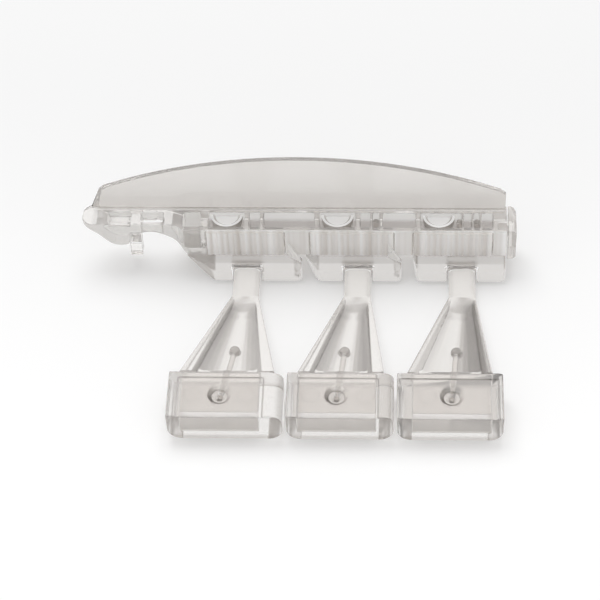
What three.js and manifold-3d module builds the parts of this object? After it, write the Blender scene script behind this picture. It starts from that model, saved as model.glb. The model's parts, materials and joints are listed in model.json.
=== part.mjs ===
// A clear light guide with three hinged keys, as it sits behind an illuminated control panel.
// An arched blade stands on a pocketed rail. Three half-round cups in the rail feed light into it,
// and three arms run forward from sockets below the rail, each to a key block that its light fills.
// Millimetres. While the pieces are made, x runs along the rail, y is zero at the rail's front face
// and points away from the keys, and z is zero on the table that the blocks and sockets stand on.
import * as THREE from "three";
import { ConvexGeometry } from "three/addons/geometries/ConvexGeometry.js";
import { mergeVertices } from "three/addons/utils/BufferGeometryUtils.js";
import Module from "manifold-3d";

// Fits
const FIT_GAP = 0.2; // between pieces that are fixed to each other
const ARM_PLAY = 0.3; // between an arm and the slot that it swings in
const BORE_PLAY = 0.15; // between a pin and its bore, on the radius
const CUT_OVERRUN = 1; // how far a cutting shape runs past the face that it cuts
const WELD_DISTANCE = 1e-5; // points of a mesh that lie nearer than this are one point

// Facets of the round forms
const PIN_SIDES = 20;
const CUP_SIDES = 36;
const BLADE_STEPS = 28;
const FAN_STEPS = 12;
const TROUGH_STEPS = 12;
const CURVE_STEPS = 7;

// Rail
const RAIL_LEFT = -39.4;
const RAIL_LENGTH = 76.4;
const RAIL_TOP = 10.4;
const RAIL_UNDERSIDE = 3.8;
const RAIL_DEPTH = 6.2;
const RAIL_END_RADIUS = 2.3;
const POCKET_FRONT_WALL = 1;
const POCKET_DEPTH = 3.3; // along y
const POCKET_FLOOR = 1.2;
const BEAM_SETBACK = 1.2; // from the rail's front face to the beam's
const BEAM_FRONT_WALL = 0.8;
const BEAM_THICKNESS = 1.8;
const TIP_THICKNESS = 1.1;
const TIP_LENGTH = 6.6;
const HOOK_DROP = 5.5; // from the rail's top to the hook's lowest point
const STUB_DROP = 4.7;
const STUB_LENGTH = 2.2;
const STUB_OFFSET = 1.8; // from the hook's lowest point to the stub
const ARCH_LENGTH = 8.4;
// control points of the tip's underside and of the arch, as shares of their lengths and heights
const TIP_CURVE_SHARES = { bend: 0.55, fall: 0.12, run: 0.62 };
const ARCH_CURVE_SHARES = { spring: 0.33, rise: 0.17, lift: 0.14, run: 0.62, sag: 0.02 };
const ARCH_STEP_SHARE = 0.7; // of the arch's length, where the set-back beam turns to the front face
// left end and right end of each pocket, as shares of the rail's length
const POCKET_SHARES = [
  [0.062, 0.117],
  [0.139, 0.192],
  [0.241, 0.281],
  [0.395, 0.421],
  [0.429, 0.549],
  [0.656, 0.681],
  [0.685, 0.702],
  [0.709, 0.787],
  [0.883, 0.895],
  [0.899, 0.918],
  [0.922, 0.937],
  [0.941, 0.968],
];
// the first pocket is a shallow one in the beam, and the second goes right through above the arch
const BEAM_POCKETS = 2;
const BEAM_POCKET_DEPTH = 1.1;

// Light blade
const BLADE_THICKNESS = 0.9;
const BLADE_FRONT = 4.75;
const BLADE_LEFT_INSET = 1.5; // from the rail's left end to the blade's foot
const BLADE_LEFT_LEAN = 1.8;
const BLADE_RIGHT_INSET = 0.3;
const BLADE_END_SLANT = { foot: 1.4, top: 0.7 }; // how much shorter the front face is at the left end
const BLADE_RISE = 13.2; // from the rail's top to the arc's crown
const BLADE_ARC_RADIUS = 86.5;
const BLADE_CROWN_SHARE = 0.503;
const BLADE_CORNER = 0.9;
const TAB_COUNT = 5;
const TAB_LENGTH = 5;
const TAB_DEPTH = 2.4;
const TAB_END_SHARE = 0.12; // from each end of the blade to the middle of its last tab

// Cups
const CUP_SHARES = [0.342, 0.603, 0.841];
const CUP_RADIUS = 3.1;
const CUP_FOOT_RADIUS = 1.1;
const CUP_HEIGHT = 4.4;
const CUP_RIM = 0.45;
const CUP_DISH_DEPTH = 0.4;
const CUP_SINK = 0.3; // from the rail's top to the cup's rim

// Ribbed windows in the rail's front face
const WINDOW_SHARES = [
  [0.293, 0.48],
  [0.537, 0.737],
  [0.78, 0.968],
];
const WINDOW_RECESS = 0.7;
const WINDOW_TOP_LIP = 0.5;
const LENS_THICKNESS = 0.4;
const RIB_PITCH = 0.95;
const RIB_HEIGHT = 0.16;
const RIB_ARC_STEPS = 3;

// Round-headed posts
const POST_SHARES = [0.6935, 0.889, 0.9295];
const POST_RADIUS = 0.42;
const POST_HEAD_RADIUS = 0.55;
const POST_HEAD_RISE = 0.5;
const POST_SHOULDER_SHARES = { radius: 0.8, height: 0.7 }; // of the head's radius and rise

// End clip
const CLIP_THICKNESS = 1.5;
const CLIP_UNDERSIDE = 3.1;
const CLIP_CORNER = 1.3; // its rounded back edge
const CLIP_EDGE = 0.5; // cut off its top and bottom edges
const CLIP_PEG_RADIUS = 0.8;
const CLIP_PEG_LENGTH = 1.6;

// Locating foot
const FOOT_WIDTH = 2.2;
const FOOT_HEIGHT = 3.2;
const FOOT_PEG_RADIUS = 0.7;
const FOOT_PEG_LENGTH = 1.8;

// Sockets: left and right end at the back and at the front, as shares of the rail's length
const SOCKET_SHARES = [
  { back: [0.246, 0.502], front: [0.309, 0.519] },
  { back: [0.527, 0.739], front: [0.555, 0.754] },
  { back: [0.78, 1.002], front: [0.79, 0.999] },
];
const SOCKET_REACH = 2.9; // in front of the rail's face
const SOCKET_BEVEL = 1.1;
const SOCKET_CORNER = 1;
const SOCKET_PEG_RADIUS = 0.8;
const SOCKET_PEG_LENGTH = 0.9;
const SOCKET_PEG_INSET = 3.2;
const SOCKET_PEG_DEPTH_SHARE = 0.75; // of the rail's depth, from its front face
// web on the right shoulder of a socket, against the rail's face: none on the last socket
const GUSSET_COUNT = 2;
const GUSSET_HEIGHT = 4.2;
const GUSSET_WIDTH = 2.6;

// Arms
const STEM_SHARES = [0.389, 0.651, 0.896];
const STEM_WIDTH = 4.8;
const STEM_HEIGHT = 2.2;
const STEM_CHAMFER = 0.9;
const STEM_LENGTH = 5.8; // from the socket's front to the fan
const HINGE_HEIGHT = 1.6;
const HINGE_SETBACK = 2; // from the socket's front to the pin
const HINGE_RADIUS = 0.6;
const HINGE_LENGTH = 9;
const FAN_LENGTH = 19.9;
const FAN_RISE = 3.4; // from the stem's top to the fan's top at the block
const FAN_UNDERSIDE = 0.4;
const FAN_SIDE_INSET = 1.7; // from the block's side to the fan's side
const FAN_RIMS = [2.1, 2, 0.9]; // at the block, for each key
const FAN_RIM_AT_STEM = 0.5;
const TROUGH_DEPTH = 3;
const TROUGH_DEPTH_AT_STEM = 1.3;
// where the trough begins and where it is full, as shares of the fan's length
const TROUGH_START_SHARE = 0.02;
const TROUGH_FULL_SHARE = 0.25;

// Key blocks
const KEY_ROW_LEFT = -21.9;
const KEY_ROW_LENGTH = 57.8;
const KEY_EDGE_SHARES = [0, 0.352, 0.678, 1];
const KEY_GAP = 0.5;
const KEY_HEIGHT = 6.4;
const KEY_DEPTH = 9.7;
const KEY_CORNER = 2.6;
const KEY_TOP_WALL = 0.7;
const KEY_FRONT_WALL = 1.4;
const KEY_FLOOR = 1.2;
const KEY_BACK_RIM = 1.3;
const KEY_PAN_DEPTH = 0.25;
// of each block's width: the pan's two rims, and the rounded shoulder along the right edge
const KEY_SIDE_SHARES = [
  { leftRim: 0.085, rightRim: 0.175, shoulder: 0.16 },
  { leftRim: 0.11, rightRim: 0.145, shoulder: 0.13 },
  { leftRim: 0.03, rightRim: 0.045, shoulder: 0.03 },
];
const KEY_SHOULDER_DROP_SHARE = 0.8; // of the shoulder's width
const TONGUE_WIDTH = 13.2;
const DIMPLE_SHIFT_SHARES = [-0.05, -0.033, 0.016]; // of the block's width, from its middle
const DIMPLE_RADIUS = 2.1;
const DIMPLE_DEPTH = 1.7;
const DIMPLE_SETBACK = 4.9; // from the block's front

// Latch pins
const LATCH_RADIUS = 0.5;
const LATCH_HEAD_RADIUS = 0.95;
const LATCH_HEAD_REACH = 7; // from the block's back to the middle of the head
const LATCH_HEAD_STAND = 0.6; // from the trough's floor to the middle of the head
const LATCH_TIP_HEIGHT = 4.3;
const LATCH_HEAD_SHIFT_SHARES = [0.27, 0.16, 0.13]; // of the reach, to the right of the dimple

const mix = (from, to, share) => from + (to - from) * share;

// Places that follow from the sizes above
const railRight = RAIL_LEFT + RAIL_LENGTH;
const alongRail = (share) => RAIL_LEFT + RAIL_LENGTH * share;
const socketTop = RAIL_UNDERSIDE - FIT_GAP;
const socketFront = -SOCKET_REACH;
const hingeY = socketFront + HINGE_SETBACK;
const stemTop = HINGE_HEIGHT + STEM_HEIGHT / 2;
const stemBottom = HINGE_HEIGHT - STEM_HEIGHT / 2;
const fanBack = socketFront - STEM_LENGTH;
const fanFront = fanBack - FAN_LENGTH;
const fanTop = stemTop + FAN_RISE;
const blockBack = fanFront - FIT_GAP;
const blockFront = blockBack - KEY_DEPTH;
const dimpleY = blockFront + DIMPLE_SETBACK;
const pocketBottom = RAIL_UNDERSIDE + POCKET_FLOOR;
const pocketBack = POCKET_FRONT_WALL + POCKET_DEPTH;
const postFoot = pocketBottom - POCKET_FLOOR / 2;
const postY = POCKET_FRONT_WALL + POCKET_DEPTH / 2;
const clipPegHeight = (RAIL_UNDERSIDE + RAIL_TOP) / 2;
const cupRim = RAIL_TOP - CUP_SINK;
const bladeFoot = RAIL_TOP + FIT_GAP;
const bladeLeft = RAIL_LEFT + BLADE_LEFT_INSET;
const bladeRight = railRight - BLADE_RIGHT_INSET;
const bladeLength = bladeRight - bladeLeft;
const tongueBottom = KEY_FLOOR + FIT_GAP;
const tongueTop = KEY_HEIGHT - KEY_PAN_DEPTH - KEY_TOP_WALL - FIT_GAP;

const keys = STEM_SHARES.map((stemShare, index) => {
  const edge = (side) => KEY_ROW_LEFT + KEY_ROW_LENGTH * KEY_EDGE_SHARES[index + side];
  const left = edge(0) + KEY_GAP / 2;
  const right = edge(1) - KEY_GAP / 2;
  const width = right - left;
  return {
    number: index + 1,
    left,
    right,
    width,
    sides: KEY_SIDE_SHARES[index],
    rim: FAN_RIMS[index],
    latchShift: LATCH_HEAD_SHIFT_SHARES[index],
    dimple: (left + right) / 2 + width * DIMPLE_SHIFT_SHARES[index],
    stem: alongRail(stemShare),
  };
});

const wasm = await Module();
wasm.setup();

// Turns a closed geometry into a solid that can be joined and cut.
function solidOf(geometry) {
  const bare = new THREE.BufferGeometry();
  bare.setAttribute("position", geometry.getAttribute("position"));
  bare.setIndex(geometry.index);
  const merged = mergeVertices(bare, WELD_DISTANCE);
  return new wasm.Manifold(
    new wasm.Mesh({
      numProp: 3,
      vertProperties: new Float32Array(merged.attributes.position.array),
      triVerts: new Uint32Array(merged.index.array),
    }),
  );
}

function geometryOf(solid) {
  const mesh = solid.getMesh();
  const geometry = new THREE.BufferGeometry();
  geometry.setAttribute("position", new THREE.BufferAttribute(mesh.vertProperties, 3));
  geometry.setIndex(new THREE.BufferAttribute(mesh.triVerts, 1));
  geometry.computeVertexNormals();
  return geometry;
}

function outline(points) {
  return new THREE.Shape(points.map(([u, v]) => new THREE.Vector2(u, v)));
}

const X = new THREE.Vector3(1, 0, 0);
const Y = new THREE.Vector3(0, 1, 0);
const Z = new THREE.Vector3(0, 0, 1);

function extruded(shape, length, basis, shift) {
  const geometry = new THREE.ExtrudeGeometry(shape, {
    depth: length,
    bevelEnabled: false,
    curveSegments: CURVE_STEPS,
  });
  geometry.applyMatrix4(new THREE.Matrix4().makeBasis(...basis));
  geometry.translate(shift.x, shift.y, shift.z);
  return solidOf(geometry);
}

// A shape drawn in y and z, drawn out along x.
function alongX(shape, from, to) {
  return extruded(shape, to - from, [Y, Z, X], new THREE.Vector3(from, 0, 0));
}

// A shape drawn in x and z, drawn out along y.
function alongY(shape, from, to) {
  const back = Y.clone().negate();
  return extruded(shape, to - from, [X, Z, back], new THREE.Vector3(0, to, 0));
}

// A shape drawn in x and y, drawn out along z.
function alongZ(shape, from, to) {
  return extruded(shape, to - from, [X, Y, Z], new THREE.Vector3(0, 0, from));
}

function boxBetween([x0, y0, z0], [x1, y1, z1]) {
  const geometry = new THREE.BoxGeometry(x1 - x0, y1 - y0, z1 - z0);
  geometry.translate((x0 + x1) / 2, (y0 + y1) / 2, (z0 + z1) / 2);
  return solidOf(geometry);
}

function rodBetween(start, end, radius) {
  const run = end.clone().sub(start);
  const geometry = new THREE.CylinderGeometry(radius, radius, run.length(), PIN_SIDES);
  geometry.applyQuaternion(new THREE.Quaternion().setFromUnitVectors(Y, run.normalize()));
  const middle = start.clone().add(end).multiplyScalar(0.5);
  geometry.translate(middle.x, middle.y, middle.z);
  return solidOf(geometry);
}

// A profile of radius and height pairs, turned about the upright line through x and y.
function turned(profile, x, y, sides) {
  const points = profile.map(([radius, height]) => new THREE.Vector2(radius, height));
  const geometry = new THREE.LatheGeometry(points, sides);
  geometry.rotateX(Math.PI / 2);
  geometry.translate(x, y, 0);
  return solidOf(geometry);
}

function joined(solids) {
  return solids.reduce((whole, next) => whole.add(next));
}

function cutBy(solid, cutters) {
  return cutters.reduce((rest, cutter) => rest.subtract(cutter), solid);
}

const part = new THREE.Group();

function addPiece(name, solid, look, group = part) {
  const mesh = new THREE.Mesh(geometryOf(solid), new THREE.MeshStandardMaterial(look));
  mesh.name = name;
  group.add(mesh);
}

const clearAcrylic = { color: 0xd6d2cc, roughness: 0.12, metalness: 0, transparent: true, opacity: 0.5 };
const clearLens = { color: 0xdedad4, roughness: 0.08, metalness: 0, transparent: true, opacity: 0.5 };
const clearPin = { color: 0xc9c5be, roughness: 0.1, metalness: 0, transparent: true, opacity: 0.6 };

// Front view of the rail: tip, hook, stub and arch at the left, then a straight underside.
function railFront() {
  const tipBottom = RAIL_TOP - TIP_THICKNESS;
  const hookX = RAIL_LEFT + TIP_LENGTH;
  const hookBottom = RAIL_TOP - HOOK_DROP;
  const stubLeft = hookX + STUB_OFFSET;
  const stubRight = stubLeft + STUB_LENGTH;
  const stubBottom = RAIL_TOP - STUB_DROP;
  const archTop = RAIL_TOP - BEAM_THICKNESS;
  const archRight = stubRight + ARCH_LENGTH;
  const archFall = archTop - RAIL_UNDERSIDE;
  const tip = TIP_CURVE_SHARES;
  const arch = ARCH_CURVE_SHARES;
  const shape = new THREE.Shape();
  shape.moveTo(railRight, RAIL_UNDERSIDE);
  shape.lineTo(railRight, RAIL_TOP);
  shape.lineTo(RAIL_LEFT + TIP_THICKNESS / 2, RAIL_TOP);
  shape.quadraticCurveTo(RAIL_LEFT, RAIL_TOP, RAIL_LEFT, RAIL_TOP - TIP_THICKNESS / 2);
  shape.quadraticCurveTo(RAIL_LEFT, tipBottom, RAIL_LEFT + TIP_THICKNESS / 2, tipBottom);
  shape.bezierCurveTo(
    RAIL_LEFT + TIP_LENGTH * tip.bend,
    tipBottom - HOOK_DROP * tip.fall,
    RAIL_LEFT + TIP_LENGTH * tip.run,
    hookBottom,
    hookX,
    hookBottom,
  );
  shape.quadraticCurveTo(stubLeft, hookBottom, stubLeft, stubBottom);
  shape.lineTo(stubRight, stubBottom);
  shape.lineTo(stubRight, archTop - BEAM_THICKNESS * arch.spring);
  shape.bezierCurveTo(
    stubRight + ARCH_LENGTH * arch.rise,
    archTop + archFall * arch.lift,
    stubRight + ARCH_LENGTH * arch.run,
    archTop - archFall * arch.sag,
    archRight,
    RAIL_UNDERSIDE,
  );
  return { shape, stubLeft, stubRight, stubBottom, archRight };
}

const railView = railFront();
const footX = (railView.stubLeft + railView.stubRight) / 2;
const footY = BEAM_SETBACK + FOOT_WIDTH / 2;

// Top view of the rail: its left end is rounded, and the beam there is set back from the front face.
function railPlan() {
  const shape = new THREE.Shape();
  const endX = RAIL_LEFT + RAIL_END_RADIUS;
  const { stubRight, archRight } = railView;
  const stepX = stubRight + ARCH_LENGTH * ARCH_STEP_SHARE;
  shape.moveTo(railRight, 0);
  shape.lineTo(railRight, RAIL_DEPTH);
  shape.lineTo(endX, RAIL_DEPTH);
  shape.absarc(endX, RAIL_DEPTH - RAIL_END_RADIUS, RAIL_END_RADIUS, Math.PI / 2, Math.PI);
  shape.absarc(endX, BEAM_SETBACK + RAIL_END_RADIUS, RAIL_END_RADIUS, Math.PI, Math.PI * 1.5);
  shape.lineTo(stepX, BEAM_SETBACK);
  shape.bezierCurveTo((stepX + archRight) / 2, BEAM_SETBACK, (stepX + archRight) / 2, 0, archRight, 0);
  return shape;
}

const tabMiddles = Array.from({ length: TAB_COUNT }, (_, index) => {
  const share = TAB_END_SHARE + ((1 - 2 * TAB_END_SHARE) * index) / (TAB_COUNT - 1);
  return bladeLeft + bladeLength * share;
});

const pegPlaces = SOCKET_SHARES.map(({ back }) => [
  alongRail(back[0]) + SOCKET_PEG_INSET,
  alongRail(back[1]) - SOCKET_PEG_INSET,
]);
const pegY = RAIL_DEPTH * SOCKET_PEG_DEPTH_SHARE;

function carrierRail() {
  const body = alongY(railView.shape, 0, RAIL_DEPTH).intersect(
    alongZ(railPlan(), RAIL_UNDERSIDE - CUT_OVERRUN, RAIL_TOP + CUT_OVERRUN),
  );
  const above = RAIL_TOP + CUT_OVERRUN;
  const pockets = POCKET_SHARES.map(([left, right], index) => {
    const beamPocket = index < BEAM_POCKETS;
    const beamBottom = index === 0 ? RAIL_TOP - BEAM_POCKET_DEPTH : RAIL_UNDERSIDE;
    const front = beamPocket ? BEAM_SETBACK + BEAM_FRONT_WALL : POCKET_FRONT_WALL;
    return boxBetween(
      [alongRail(left), front, beamPocket ? beamBottom : pocketBottom],
      [alongRail(right), pocketBack, above],
    );
  });
  const cupPockets = CUP_SHARES.map((share) => {
    const half = CUP_RADIUS + FIT_GAP;
    return boxBetween(
      [alongRail(share) - half, POCKET_FRONT_WALL, pocketBottom],
      [alongRail(share) + half, pocketBack, above],
    );
  });
  const slots = tabMiddles.map((x) =>
    boxBetween(
      [x - TAB_LENGTH / 2 - FIT_GAP, BLADE_FRONT - FIT_GAP, RAIL_TOP - TAB_DEPTH],
      [x + TAB_LENGTH / 2 + FIT_GAP, BLADE_FRONT + BLADE_THICKNESS + FIT_GAP, above],
    ),
  );
  const windows = WINDOW_SHARES.map(([left, right]) =>
    boxBetween(
      [alongRail(left), -CUT_OVERRUN, RAIL_UNDERSIDE - CUT_OVERRUN],
      [alongRail(right), WINDOW_RECESS, RAIL_TOP - WINDOW_TOP_LIP],
    ),
  );
  const pegHoles = pegPlaces.flat().map((x) =>
    rodBetween(
      new THREE.Vector3(x, pegY, RAIL_UNDERSIDE - CUT_OVERRUN),
      new THREE.Vector3(x, pegY, RAIL_UNDERSIDE + SOCKET_PEG_LENGTH),
      SOCKET_PEG_RADIUS + BORE_PLAY,
    ),
  );
  const postHoles = POST_SHARES.map((share) =>
    rodBetween(
      new THREE.Vector3(alongRail(share), postY, postFoot - FIT_GAP),
      new THREE.Vector3(alongRail(share), postY, pocketBottom + CUT_OVERRUN),
      POST_RADIUS + BORE_PLAY,
    ),
  );
  const clipHole = rodBetween(
    new THREE.Vector3(railRight - CLIP_PEG_LENGTH, RAIL_DEPTH / 2, clipPegHeight),
    new THREE.Vector3(railRight + CUT_OVERRUN, RAIL_DEPTH / 2, clipPegHeight),
    CLIP_PEG_RADIUS + BORE_PLAY,
  );
  const footHole = rodBetween(
    new THREE.Vector3(footX, footY, railView.stubBottom - CUT_OVERRUN),
    new THREE.Vector3(footX, footY, railView.stubBottom + FOOT_PEG_LENGTH),
    FOOT_PEG_RADIUS + BORE_PLAY,
  );
  const holes = [...pegHoles, ...postHoles, clipHole, footHole];
  return cutBy(body, [...pockets, ...cupPockets, ...slots, ...windows, ...holes]);
}

// The blade's upright outline: an arc between two short ends, the left one leaning outwards.
function bladeOutline(footInset, topInset, y) {
  const crownX = bladeLeft + bladeLength * BLADE_CROWN_SHARE;
  const crownZ = RAIL_TOP + BLADE_RISE;
  const arcHeight = (x) => crownZ - BLADE_ARC_RADIUS + Math.sqrt(BLADE_ARC_RADIUS ** 2 - (x - crownX) ** 2);
  const topLeft = bladeLeft + BLADE_LEFT_LEAN + topInset;
  const arcLeft = topLeft + BLADE_CORNER;
  const arcRight = bladeRight - BLADE_CORNER;
  const points = [
    [bladeLeft + footInset, bladeFoot],
    [bladeRight, bladeFoot],
    [bladeRight, arcHeight(arcRight) - BLADE_CORNER],
    [topLeft, arcHeight(arcLeft) - BLADE_CORNER],
  ];
  for (let step = 0; step <= BLADE_STEPS; step += 1) {
    const x = arcRight + ((arcLeft - arcRight) * step) / BLADE_STEPS;
    points.push([x, arcHeight(x)]);
  }
  return points.map(([x, z]) => new THREE.Vector3(x, y, z));
}

function lightBlade() {
  const back = BLADE_FRONT + BLADE_THICKNESS;
  const sheet = solidOf(
    new ConvexGeometry([
      ...bladeOutline(BLADE_END_SLANT.foot, BLADE_END_SLANT.top, BLADE_FRONT),
      ...bladeOutline(0, 0, back),
    ]),
  );
  const tabs = tabMiddles.map((x) =>
    boxBetween(
      [x - TAB_LENGTH / 2, BLADE_FRONT, RAIL_TOP - TAB_DEPTH + FIT_GAP],
      [x + TAB_LENGTH / 2, back, bladeFoot + BLADE_THICKNESS],
    ),
  );
  return joined([sheet, ...tabs]);
}

// Half of a solid bowl on a stub, with a shallow dish in its top. It is cut flat at the back, where
// it meets the rail's web.
function cup(share) {
  const x = alongRail(share);
  const y = pocketBack - FIT_GAP;
  const foot = pocketBottom + FIT_GAP;
  const dishRadius = CUP_RADIUS - FIT_GAP - CUP_RIM;
  const dishFloor = cupRim - CUP_DISH_DEPTH;
  const outer = [];
  for (let step = 0; step <= CURVE_STEPS; step += 1) {
    const angle = (Math.PI / 2) * (step / CURVE_STEPS);
    const radius = CUP_FOOT_RADIUS + (CUP_RADIUS - FIT_GAP - CUP_FOOT_RADIUS) * Math.sin(angle);
    outer.push([radius, cupRim - CUP_HEIGHT * Math.cos(angle)]);
  }
  const dish = [
    [dishRadius, cupRim],
    [dishRadius - CUP_DISH_DEPTH, dishFloor],
    [0, dishFloor],
  ];
  const profile = [[0, foot], [CUP_FOOT_RADIUS, foot], ...outer, ...dish];
  const front = boxBetween(
    [x - CUP_RADIUS - CUT_OVERRUN, y - CUP_RADIUS - CUT_OVERRUN, foot - CUT_OVERRUN],
    [x + CUP_RADIUS + CUT_OVERRUN, y, cupRim + CUT_OVERRUN],
  );
  return turned(profile, x, y, CUP_SIDES).intersect(front);
}

// A thin plate whose front face carries upright half-round ribs.
function ribLens([leftShare, rightShare]) {
  const left = alongRail(leftShare) + FIT_GAP;
  const right = alongRail(rightShare) - FIT_GAP;
  const back = WINDOW_RECESS - FIT_GAP;
  const face = back - LENS_THICKNESS;
  const count = Math.max(1, Math.floor((right - left) / RIB_PITCH));
  const pitch = (right - left) / count;
  const points = [
    [right, back],
    [left, back],
  ];
  for (let rib = 0; rib < count; rib += 1) {
    for (let step = 0; step <= RIB_ARC_STEPS; step += 1) {
      const share = step / (RIB_ARC_STEPS + 1);
      const crest = RIB_HEIGHT * Math.sin(Math.PI * share);
      points.push([left + pitch * (rib + share), face - crest]);
    }
  }
  points.push([right, face]);
  return alongZ(outline(points), RAIL_UNDERSIDE, RAIL_TOP - WINDOW_TOP_LIP - FIT_GAP);
}

function locatingPost(share) {
  const top = RAIL_TOP - POST_HEAD_RISE;
  const profile = [
    [0, postFoot],
    [POST_RADIUS, postFoot],
    [POST_RADIUS, top],
    [POST_HEAD_RADIUS, top],
    [POST_HEAD_RADIUS * POST_SHOULDER_SHARES.radius, top + POST_HEAD_RISE * POST_SHOULDER_SHARES.height],
    [0, top + POST_HEAD_RISE],
  ];
  return turned(profile, alongRail(share), postY, PIN_SIDES);
}

function endClip() {
  const left = railRight + FIT_GAP;
  const right = left + CLIP_THICKNESS;
  const front = outline([
    [left, CLIP_UNDERSIDE],
    [right - CLIP_EDGE, CLIP_UNDERSIDE],
    [right, CLIP_UNDERSIDE + CLIP_EDGE],
    [right, RAIL_TOP - CLIP_EDGE],
    [right - CLIP_EDGE, RAIL_TOP],
    [left, RAIL_TOP],
  ]);
  const plan = new THREE.Shape();
  plan.moveTo(left, 0);
  plan.lineTo(right, 0);
  plan.lineTo(right, RAIL_DEPTH - CLIP_CORNER);
  plan.absarc(right - CLIP_CORNER, RAIL_DEPTH - CLIP_CORNER, CLIP_CORNER, 0, Math.PI / 2);
  plan.lineTo(left, RAIL_DEPTH);
  const peg = rodBetween(
    new THREE.Vector3(railRight - CLIP_PEG_LENGTH + FIT_GAP, RAIL_DEPTH / 2, clipPegHeight),
    new THREE.Vector3(left + CLIP_THICKNESS / 2, RAIL_DEPTH / 2, clipPegHeight),
    CLIP_PEG_RADIUS,
  );
  return alongY(front, 0, RAIL_DEPTH)
    .intersect(alongZ(plan, CLIP_UNDERSIDE - CUT_OVERRUN, RAIL_TOP + CUT_OVERRUN))
    .add(peg);
}

function locatingFoot() {
  const top = railView.stubBottom - FIT_GAP;
  const half = FOOT_WIDTH / 2;
  const pad = boxBetween([footX - half, footY - half, top - FOOT_HEIGHT], [footX + half, footY + half, top]);
  const peg = rodBetween(
    new THREE.Vector3(footX, footY, top - FOOT_HEIGHT / 2),
    new THREE.Vector3(footX, footY, railView.stubBottom + FOOT_PEG_LENGTH - FIT_GAP),
    FOOT_PEG_RADIUS,
  );
  return pad.add(peg);
}

// A block with a bevelled front top edge, a slot open to the front and below, and two pegs.
function socket({ back, front }, index) {
  const key = keys[index];
  const behind = RAIL_DEPTH;
  const side = outline([
    [socketFront, 0],
    [behind, 0],
    [behind, socketTop],
    [socketFront + SOCKET_BEVEL, socketTop],
    [socketFront, socketTop - SOCKET_BEVEL],
  ]);
  const [backLeft, backRight] = back.map(alongRail);
  const [frontLeft, frontRight] = front.map(alongRail);
  const plan = new THREE.Shape();
  plan.moveTo(frontLeft + SOCKET_CORNER, socketFront);
  plan.lineTo(frontRight - SOCKET_CORNER, socketFront);
  plan.quadraticCurveTo(frontRight, socketFront, frontRight, socketFront + SOCKET_CORNER);
  plan.lineTo(backRight, 0);
  plan.lineTo(backRight, behind);
  plan.lineTo(backLeft, behind);
  plan.lineTo(backLeft, 0);
  plan.lineTo(mix(frontLeft, backLeft, SOCKET_CORNER / SOCKET_REACH), socketFront + SOCKET_CORNER);
  plan.quadraticCurveTo(frontLeft, socketFront, frontLeft + SOCKET_CORNER, socketFront);
  // the left flank also leans inwards towards the table
  const face = outline([
    [frontLeft, 0],
    [frontRight, 0],
    [frontRight, socketTop],
    [backLeft, socketTop],
  ]);
  const body = alongX(side, backLeft, Math.max(backRight, frontRight))
    .intersect(alongZ(plan, -CUT_OVERRUN, socketTop + CUT_OVERRUN))
    .intersect(alongY(face, socketFront - CUT_OVERRUN, behind + CUT_OVERRUN));
  const half = STEM_WIDTH / 2 + ARM_PLAY;
  const slot = boxBetween(
    [key.stem - half, socketFront - CUT_OVERRUN, -CUT_OVERRUN],
    [key.stem + half, hingeY + STEM_HEIGHT / 2 + ARM_PLAY, stemTop + ARM_PLAY],
  );
  const bore = rodBetween(
    new THREE.Vector3(key.stem - HINGE_LENGTH / 2 - FIT_GAP, hingeY, HINGE_HEIGHT),
    new THREE.Vector3(key.stem + HINGE_LENGTH / 2 + FIT_GAP, hingeY, HINGE_HEIGHT),
    HINGE_RADIUS + BORE_PLAY,
  );
  const pegs = pegPlaces[index].map((x) =>
    rodBetween(
      new THREE.Vector3(x, pegY, socketTop - CUT_OVERRUN),
      new THREE.Vector3(x, pegY, RAIL_UNDERSIDE + SOCKET_PEG_LENGTH - FIT_GAP),
      SOCKET_PEG_RADIUS,
    ),
  );
  const gussets = index < GUSSET_COUNT ? [gusset(frontRight)] : [];
  return joined([cutBy(body, [slot, bore]), ...pegs, ...gussets]);
}

// A corner web that falls from the rail's face to the front right corner of a socket's top.
function gusset(right) {
  const low = socketTop - SOCKET_BEVEL / 2;
  const wall = -FIT_GAP;
  return solidOf(
    new ConvexGeometry([
      new THREE.Vector3(right - GUSSET_WIDTH, wall, socketTop + GUSSET_HEIGHT),
      new THREE.Vector3(right - GUSSET_WIDTH, wall, low),
      new THREE.Vector3(right, wall, low),
      new THREE.Vector3(right, socketFront + SOCKET_BEVEL, low),
      new THREE.Vector3(right, socketFront + SOCKET_BEVEL, socketTop),
    ]),
  );
}

function hingePin(key) {
  return rodBetween(
    new THREE.Vector3(key.stem - HINGE_LENGTH / 2, hingeY, HINGE_HEIGHT),
    new THREE.Vector3(key.stem + HINGE_LENGTH / 2, hingeY, HINGE_HEIGHT),
    HINGE_RADIUS,
  );
}

// Closes a row of like rings of points into one solid, its first ring at the back.
function loft(rings) {
  const size = rings[0].length;
  const positions = rings.flat().flatMap((point) => point.toArray());
  const triangles = [];
  for (let ring = 0; ring < rings.length - 1; ring += 1) {
    for (let step = 0; step < size; step += 1) {
      const a = ring * size + step;
      const b = ring * size + ((step + 1) % size);
      triangles.push(a, b, b + size, a, b + size, a + size);
    }
  }
  const last = (rings.length - 1) * size;
  const faces = (ring) => THREE.ShapeUtils.triangulateShape(ring.map(({ x, z }) => new THREE.Vector2(x, z)), []);
  faces(rings.at(-1)).forEach(([a, b, c]) => triangles.push(last + a, last + b, last + c));
  faces(rings[0]).forEach(([a, b, c]) => triangles.push(c, b, a));
  const geometry = new THREE.BufferGeometry();
  geometry.setAttribute("position", new THREE.Float32BufferAttribute(positions, 3));
  geometry.setIndex(triangles);
  return solidOf(geometry);
}

const fanTopAt = (share) => mix(stemTop, fanTop, share);
const troughDepthAt = (share) => mix(TROUGH_DEPTH_AT_STEM, TROUGH_DEPTH, share);

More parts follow.
